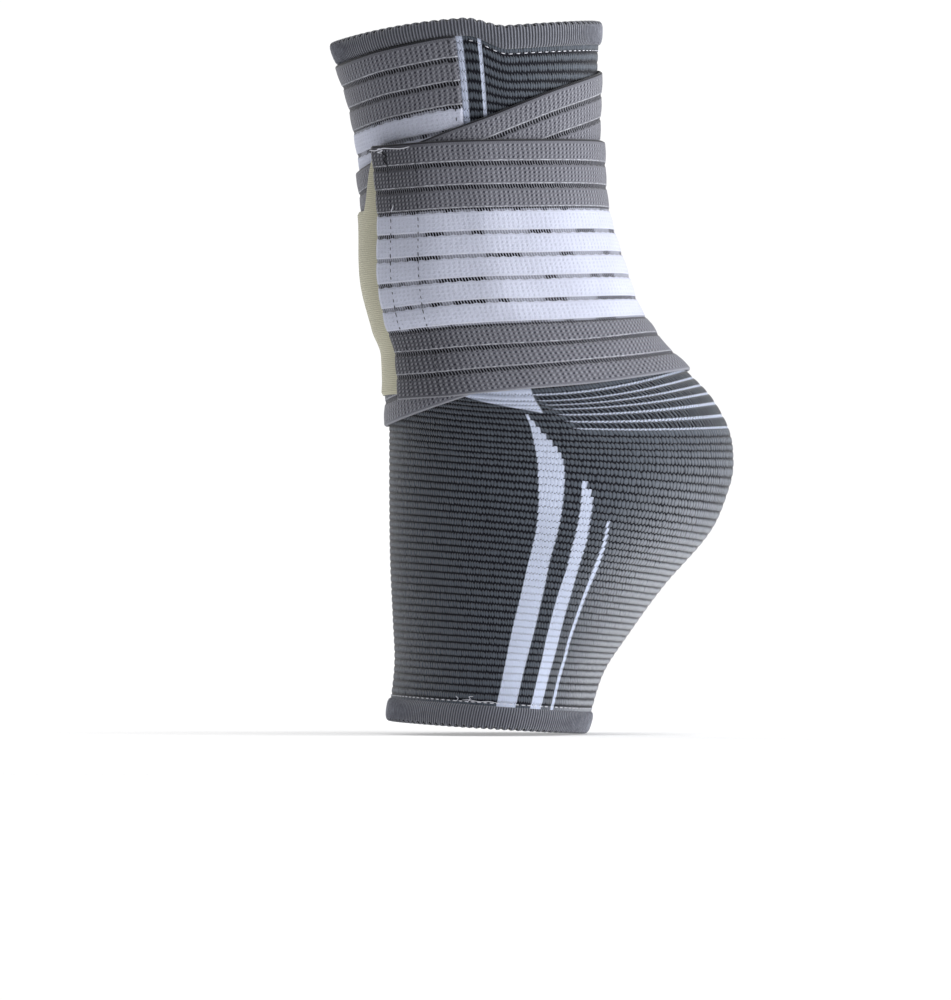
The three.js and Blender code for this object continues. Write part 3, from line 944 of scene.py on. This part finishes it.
class BRACE_OT_yarns(Operator):
    """Make the node groups and the materials of all cloths"""

    bl_idname = "brace.yarns"
    bl_label = "Yarns and cloths"

    def execute(self, context):
        yarn_fuzz_group()
        knit_loops_group()
        thread_ribs_group()
        colours = context.scene.brace_colours
        sleeve_material(colours)
        cuff_material(colours)
        strap_material(colours)
        tab_material(colours)
        thread_material("White thread", colours.thread_white)
        thread_material("Dark thread", colours.thread_dark)
        return {"FINISHED"}


class BRACE_OT_sleeve(Operator):
    """Knit the sleeve with its closed heel"""

    bl_idname = "brace.sleeve"
    bl_label = "Knitted sleeve"

    def execute(self, context):
        sizes = context.scene.brace_sizes
        rows_per_course, columns, inner_rows, count_steps = 5, 180, 24, 4000
        counted = np.arange(COURSES * rows_per_course + 1) / rows_per_course
        marks = np.linspace(0.0, 1.0, count_steps + 1)
        outer = np.interp(counted, knit_course(marks), marks)
        rounded = np.sqrt(np.clip(np.sin(math.pi * np.mod(counted, 1.0)), 0.0, 1.0))
        relief = sizes.course_relief * (rounded - 0.6)
        relief[[0, -1]] = 0.0
        inner = np.linspace(1.0, 0.0, inner_rows + 1)
        course = np.concatenate([outer, inner, outer[:1]])
        depth = np.concatenate([relief, np.full(len(inner), -SLEEVE_WALL), relief[:1]])
        angle = np.linspace(0.0, 360.0, columns + 1)
        grid_angle, grid_course = np.meshgrid(angle, course, indexing="ij")
        _, normal = sleeve_frame(np.mod(grid_angle, 360.0), grid_course)
        points = sleeve_point(np.mod(grid_angle, 360.0), grid_course)
        points = points + normal * depth[None, :, None]
        chart = np.stack([knit_wale(grid_angle, grid_course), knit_course(grid_course)], axis=-1)
        mesh = cloth_grid("knit_body", points, chart)
        piece = place_piece("knit_body", mesh, "Knit", ["knit_sleeve"])
        return {"FINISHED"}

def signed_power(values, power):
    return np.sign(values) * np.abs(values) ** power


def cuff_mesh(name, sizes, course, outward, full_height):
    """A rolled rib cuff that goes on from one end of the sleeve."""
    per_rib, ring_points = 4, 20
    columns = sizes.rib_count * per_rib
    around = np.mod(np.linspace(0.0, 360.0, columns + 1), 360.0)
    ends = np.full(len(around), float(course))
    along, normal = sleeve_frame(around, ends)
    seam = sleeve_point(around, ends)
    length = np.linalg.norm(np.diff(seam, axis=0), axis=1).sum()
    pulled = seam_pull(around) if course == 0 else np.zeros(len(around))
    height = full_height * (1.0 - CUFF_SQUEEZE * pulled)
    roll = np.linspace(0.0, 2.0 * math.pi, ring_points + 1)
    high = signed_power(np.cos(roll), 0.7)
    thick = signed_power(np.sin(roll), 0.6)
    ribs = np.arange(columns + 1) / per_rib
    rib = -0.5 * np.cos(2.0 * math.pi * ribs)
    picot = np.abs(np.sin(math.pi * ribs / RIBS_PER_NOTCH)) ** 0.6
    rim = NOTCH_DEPTH * smooth(0.55, 1.0, high) * (picot[:, None] - 1.0)
    reach = height[:, None] / 2.0 * (1.0 + high)
    away = outward * (SEAM_GAP + reach + rim - SEAM_OVERLAP * smooth(0.2, -1.0, high))
    swell = sizes.rib_depth * np.sign(thick) * (1.0 - 0.5 * np.abs(high))
    out = CUFF_THICKNESS / 2.0 * thick - SLEEVE_WALL / 2.0 + rib[:, None] * swell
    points = seam[:, None] + away[..., None] * along[:, None] + out[..., None] * normal[:, None]
    chart = np.meshgrid(ribs, np.arange(ring_points + 1.0), indexing="ij")
    return cloth_grid(name, points, np.stack(chart, axis=-1)), length


class BRACE_OT_cuffs(Operator):
    """Roll the rib cuffs at the leg and at the foot"""

    bl_idname = "brace.cuffs"
    bl_label = "Rolled cuffs"

    def execute(self, context):
        sizes = context.scene.brace_sizes
        plans = (("leg_cuff_rib", "leg_cuff", 0, -1, LEG_CUFF_HEIGHT),
                 ("foot_cuff_rib", "foot_cuff", 1, 1, FOOT_CUFF_HEIGHT))
        for name, node, course, outward, height in plans:
            mesh, length = cuff_mesh(name, sizes, course, outward, height)
            piece = place_piece(name, mesh, "Cuff rib", [node])
        return {"FINISHED"}


def quarter_round(share):
    """How far a rounded edge has risen, from 0 to 1, at a share of its width."""
    return np.sqrt(np.clip(1.0 - (1.0 - np.clip(share, 0.0, 1.0)) ** 2, 0.0, 1.0))


def strap_face(across, sizes):
    """How far the strap's face stands out from its back at places across it."""
    pitch = STRAP_WIDTH / STRAP_BANDS
    line = np.clip(np.rint(across / pitch), 1, STRAP_BANDS - 1) * pitch
    half = sizes.groove_width / 2.0
    groove = 1.0 - smooth(half * 0.45, half * 1.15, np.abs(across - line))
    crown = sizes.band_crown * np.sin(math.pi * np.mod(across / pitch, 1.0)) ** 2
    full = STRAP_THICKNESS + crown - sizes.groove_depth * groove
    from_edge = np.minimum(across, STRAP_WIDTH - across)
    return full * (0.45 + 0.55 * quarter_round(from_edge / STRAP_EDGE_ROUND))


def tab_lift(angle):
    """How far the strap's end is lifted by the tab beneath it."""
    start = STRAP_END - TAB_OVERLAP
    return (TAB_THICKNESS + TURN_GAP) * smooth(start - START_RAMP, start, angle)


class BRACE_OT_strap(Operator):
    """Wind the elastic strap round the ankle"""

    bl_idname = "brace.strap"
    bl_label = "Wound strap"

    def execute(self, context):
        columns, inner_rows = 560, 12
        bands = np.arange(STRAP_BANDS)[:, None]
        outer = ((bands + BAND_POINTS[None, :]) * STRAP_WIDTH / STRAP_BANDS).ravel()
        outer = np.concatenate([outer, [STRAP_WIDTH]])
        inner = np.linspace(STRAP_WIDTH - STRAP_BACK_INSET, STRAP_BACK_INSET, inner_rows + 1)
        across = np.concatenate([outer, inner, outer[:1]])
        face = strap_face(outer, context.scene.brace_sizes)
        out = np.concatenate([face, np.zeros(len(inner)), face[:1]])
        rows = []
        for turn in np.linspace(STRAP_START, STRAP_END, columns + 1):
            slant = END_SLANT * smooth(STRAP_END - END_SLANT_TURN, STRAP_END, turn)
            angle = turn + slant * across / STRAP_WIDTH
            rows.append(winding_points(angle, across, out + tab_lift(angle)))
        points = np.array(rows)
        middle = points[:, len(outer) // 2]
        steps = np.linalg.norm(np.diff(middle, axis=0), axis=1)
        run = np.concatenate([[0.0], np.cumsum(steps)])
        chart = np.meshgrid((run - run[-1]) * MM, across * MM, indexing="ij")
        mesh = cloth_grid("strap_band", points, np.stack(chart, axis=-1))
        piece = place_piece("strap_band", mesh, "Strap elastic", ["wrap_strap"])
        return {"FINISHED"}


class BRACE_OT_tab(Operator):
    """Lay the hook tab on from the strap's end"""

    bl_idname = "brace.tab"
    bl_label = "Hook tab"

    def execute(self, context):
        start, end = STRAP_END - TAB_OVERLAP, STRAP_END + TAB_REACH
        middle, probe = np.full(2, STRAP_WIDTH / 2), 6.0
        ends = winding_points(np.array([end - probe, end]), middle, np.zeros(2))
        corner_turn = TAB_CORNER / np.linalg.norm(ends[1] - ends[0]) * probe
        body = np.linspace(start, end - corner_turn, 110)
        corner = end - corner_turn * np.cos(np.linspace(0.0, math.pi / 2, 20))[1:]
        outer_rows, inner_rows = 60, 20
        down = np.linspace(0.0, 1.0, outer_rows + 1)
        edge = np.minimum(down, 1.0 - down) / 0.02
        face = TAB_THICKNESS * (0.4 + 0.6 * quarter_round(edge))
        share = np.concatenate([down, np.linspace(1.0, 0.0, inner_rows + 1), down[:1]])
        out = np.concatenate([face, np.zeros(inner_rows + 1), face[:1]])
        rows, chart = [], []
        for turn in np.concatenate([body, corner]):
            into = np.clip(1.0 - (end - turn) / corner_turn, 0.0, 1.0)
            inset = TAB_CORNER * (1.0 - math.sqrt(1.0 - into * into))
            narrowed = smooth(STRAP_END, STRAP_END + TAB_NECK, turn)
            upper = TAB_BOTTOM_INSET + (TAB_TOP_INSET - TAB_BOTTOM_INSET) * narrowed + inset
            lower = STRAP_WIDTH - TAB_BOTTOM_INSET - inset
            across = upper + (lower - upper) * share
            turns = np.full(len(across), turn)
            rows.append(winding_points(turns, across, out))
            chart.append(np.stack([turns * TAB_MM_PER_DEGREE, across * MM], axis=-1))
        mesh = cloth_grid("tab_web", np.array(rows), np.array(chart))
        piece = place_piece("tab_web", mesh, "Tab webbing", ["hook_tab"])
        return {"FINISHED"}


def stitch_mesh(name, stitches):
    """Short threads in one mesh. Each has a middle, a direction, a normal, a length and a
    radius."""
    piece = bmesh.new()
    for middle, direction, normal, length, radius in stitches:
        run = Vector(direction).normalized()
        up = Vector(normal).normalized()
        side = run.cross(up).normalized()
        up = side.cross(run).normalized()
        axes = Matrix((run * length / 2.0, side * radius, up * radius)).transposed().to_4x4()
        axes.translation = Vector(middle)
        bmesh.ops.create_uvsphere(piece, u_segments=8, v_segments=6, radius=1.0, matrix=axes)
    bmesh.ops.recalc_face_normals(piece, faces=piece.faces[:])
    for face in piece.faces:
        face.smooth = True
    mesh = bpy.data.meshes.new(name)
    piece.to_mesh(mesh)
    piece.free()
    return mesh


def thread_mesh(name, path, radius, sides=6):
    """A loose thread end along a few points: a grid rolled up round its path."""
    path = np.array(path, float)
    steps = np.linspace(0.0, len(path) - 1.0, 8 * (len(path) - 1) + 1)
    keyed = np.column_stack([np.arange(len(path)), path])
    line = np.stack([table_column(keyed, i, steps) for i in (1, 2, 3)], axis=-1)
    run = unit(np.gradient(line, axis=0))
    side = unit(np.cross(run, np.array([0.31, -0.2, 0.93])))
    up = np.cross(side, run)
    taper = radius * np.sqrt(np.clip(1.0 - np.linspace(-1.0, 1.0, len(line)) ** 8, 0.02, 1.0))
    roll = np.linspace(0.0, 2.0 * math.pi, sides + 1)
    ring = np.cos(roll)[None, :, None] * side[:, None] + np.sin(roll)[None, :, None] * up[:, None]
    points = line[:, None] + ring * taper[:, None, None]
    chart = np.meshgrid(np.arange(float(len(line))), np.arange(sides + 1.0), indexing="ij")
    return cloth_grid(name, points, np.stack(chart, axis=-1))


def winding_spot(turn, across, out=0.0):
    """A point on the strap's face, with the directions along and across the strap there."""
    turn_step, across_step = 0.8, 0.0008
    turns = np.array([turn, turn + turn_step, turn, turn - turn_step])
    places = np.array([across, across, across + across_step, across])
    lift = STRAP_THICKNESS + THREAD_LIFT + tab_lift(turns) + out
    here, ahead, below, behind = winding_points(turns, places, lift)
    return here, unit(ahead - behind), unit(below - here)


def seam_stitches(sizes, course, start, end):
    """Stitches round a cuff's seam from one angle to another."""
    stitches = []
    for turn in np.arange(start, end, SEAM_STITCH_TURN):
        here, ahead = sleeve_point(np.array([turn, turn + 1.0]), np.full(2, course))
        _, normal = sleeve_frame(np.array([turn]), np.array([course]))
        middle = here + normal[0] * SEAM_STITCH_LIFT
        radius = sizes.thread_radius * 0.8
        stitches.append((middle, ahead - here, normal[0], sizes.stitch_length, radius))
    return stitches


def strap_stitches(radius):
    """The stitch lines across the strap: two at its hem and one at its sewn start."""
    stitches = []
    for before in HEM_LINES:
        for across in np.arange(0.0020, LAST_STITCH, HEM_STITCH_GAP):
            turn = STRAP_END + END_SLANT * across / STRAP_WIDTH - before
            here, along, down = winding_spot(turn, across)
            length = 0.0012 + 0.0004 * math.sin(across * 9000.0)
            stitches.append((here, down, np.cross(along, down), length, radius * 0.8))
    for across in np.arange(0.0016, LAST_STITCH, START_STITCH_GAP):
        here, along, down = winding_spot(STRAP_START + START_LINE, across)
        stitches.append((here, down, np.cross(along, down), 0.0014, radius * 0.9))
    return stitches


def end_spots(places, out):
    """Points on the strap's face from degrees before its end and places across it."""
    return [winding_spot(STRAP_END - before, across, out)[0] for before, across in places]


class BRACE_OT_stitches(Operator):
    """Sew the cuff seams, the strap's start and its hem, and leave the thread ends"""

    bl_idname = "brace.stitches"
    bl_label = "Stitches and threads"

    def execute(self, context):
        sizes = context.scene.brace_sizes
        radius = sizes.thread_radius
        for name, (course, start, end) in (("leg_seam_stitches", LEG_SEAM_STITCHES),
                                           ("foot_seam_stitches", FOOT_SEAM_STITCHES)):
            mesh = stitch_mesh(name, seam_stitches(sizes, course, start, end))
            place_piece(name, mesh, "White thread")
        mesh = stitch_mesh("hem_stitches", strap_stitches(radius))
        place_piece("hem_stitches", mesh, "Dark thread")

        lump = [(8.0 - 1.1 * math.sin(2.3 * k), 0.0016 + 0.0009 * k) for k in range(6)]
        knot = [(6.5 - 1.6 * math.sin(2.0 * k), 0.0009 + 0.0003 * k) for k in range(6)]
        bits = [(9.0 - 0.6 * k, 0.0190 + 0.0007 * k) for k in range(4)]
        for name, places, out, material, wide in (
            ("hem_lump", lump, 0.0002, "Dark thread", 1.5),
            ("hem_knot", knot, 0.0005, "White thread", 0.8),
            ("hem_thread", HEM_TAIL, 0.0004, "White thread", 0.8),
            ("hem_thread_end", bits, 0.0002, "White thread", 0.8),
        ):
            mesh = thread_mesh(name, end_spots(places, out), radius * wide)
            place_piece(name, mesh, material)
        for number, places in enumerate(FOOT_TAILS):
            turns, courses = np.array(places).T
            _, normal = sleeve_frame(turns, courses)
            path = sleeve_point(turns, courses) + normal * LOOSE_THREAD_LIFT
            name = f"foot_thread_{number + 1}"
            place_piece(name, thread_mesh(name, path, radius * 0.5), "White thread")
        return {"FINISHED"}


def lay_floor(scene):
    low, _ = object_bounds()
    disc = bmesh.new()
    bmesh.ops.create_circle(disc, cap_ends=True, cap_tris=False, segments=128,
                            radius=FLOOR_RADIUS)
    bmesh.ops.translate(disc, verts=disc.verts[:], vec=(0.0, 0.0, low.z - FLOOR_GAP))
    mesh = bpy.data.meshes.new("floor")
    disc.to_mesh(mesh)
    disc.free()
    floor = bpy.data.objects.new("floor", mesh)
    scene.collection.objects.link(floor)
    material, desk, shader = cloth_material("Pale floor", 0.0, 0.9)
    fuzz = desk.noise(desk.add("ShaderNodeTexCoord").outputs["Object"], 40.0, 3.0)
    tone = desk.scaled(fuzz, 0.02, 0.99)
    colour = toned(desk, (*scene.brace_colours.floor_white, 1), tone)
    desk.feed(shader.inputs["Base Color"], colour)
    shader.inputs["Emission Color"].default_value = (1.0, 1.0, 1.0, 1.0)
    shader.inputs["Emission Strength"].default_value = FLOOR_GLOW
    mesh.materials.append(material)
    floor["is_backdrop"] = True


def light_stage(scene):
    world = bpy.data.worlds.new("Studio")
    scene.world = world
    world.use_nodes = True
    sky = NodeDesk(world.node_tree)
    background = world.node_tree.nodes["Background"]
    seen = sky.add("ShaderNodeLightPath").outputs["Is Camera Ray"]
    sky.feed(background.inputs["Color"], (1.0, 1.0, 1.0, 1.0))
    sky.feed(background.inputs["Strength"], sky.scaled(seen, SKY_SEEN, SKY_LIGHT))
    for name, place, size, power in LIGHTS:
        light = bpy.data.lights.new(name, "AREA")
        light.size = size
        light.energy = power
        lamp = bpy.data.objects.new(name, light)
        scene.collection.objects.link(lamp)
        lamp.location = place
        lamp.rotation_euler = (-Vector(place)).to_track_quat("-Z", "Y").to_euler()


def set_camera(scene):
    camera = bpy.data.cameras.new("camera")
    camera.sensor_width = SENSOR_WIDTH
    camera.lens = SENSOR_WIDTH * CAMERA_DISTANCE / (PHOTO_HEIGHT * PIXEL)
    camera.clip_end = 50.0
    viewer = bpy.data.objects.new("camera", camera)
    scene.collection.objects.link(viewer)
    right = (PHOTO_MIDDLE[0] - ANKLE_PIXEL[0]) * PIXEL
    up = (ANKLE_PIXEL[1] - PHOTO_MIDDLE[1]) * PIXEL
    viewer.location = (right, -CAMERA_DISTANCE, up)
    viewer.rotation_euler = (math.radians(90.0), 0.0, 0.0)
    scene.camera = viewer


class BRACE_OT_stage(Operator):
    """Set the floor, the lights and the camera"""

    bl_idname = "brace.stage"
    bl_label = "Stage"

    def execute(self, context):
        lay_floor(context.scene)
        light_stage(context.scene)
        set_camera(context.scene)
        context.scene.view_settings.view_transform = "Standard"
        return {"FINISHED"}


OPERATORS = (BRACE_OT_yarns, BRACE_OT_sleeve, BRACE_OT_cuffs, BRACE_OT_strap, BRACE_OT_tab,
             BRACE_OT_stitches, BRACE_OT_stage)


class BRACE_PT_panel(Panel):
    """The steps that dress the brace, with its sizes and colours"""

    bl_idname = "BRACE_PT_panel"
    bl_label = "Ankle brace"
    bl_space_type = "VIEW_3D"
    bl_region_type = "UI"
    bl_category = "Brace"

    def draw(self, context):
        for step in OPERATORS:
            self.layout.operator(step.bl_idname)
        for group in (context.scene.brace_sizes, context.scene.brace_colours):
            for name in group.__annotations__:
                self.layout.prop(group, name)


CLASSES = (BraceSizes, BraceColours, *OPERATORS, BRACE_PT_panel)


def register():
    for each in CLASSES:
        bpy.utils.register_class(each)
    bpy.types.Scene.brace_sizes = PointerProperty(type=BraceSizes)
    bpy.types.Scene.brace_colours = PointerProperty(type=BraceColours)


def unregister():
    del bpy.types.Scene.brace_colours
    del bpy.types.Scene.brace_sizes
    for each in reversed(CLASSES):
        bpy.utils.unregister_class(each)


def main():
    register()
    bpy.ops.brace.yarns()
    bpy.ops.brace.sleeve()
    bpy.ops.brace.cuffs()
    bpy.ops.brace.strap()
    bpy.ops.brace.tab()
    bpy.ops.brace.stitches()
    bpy.ops.brace.stage()


if __name__ == "__main__":
    main()
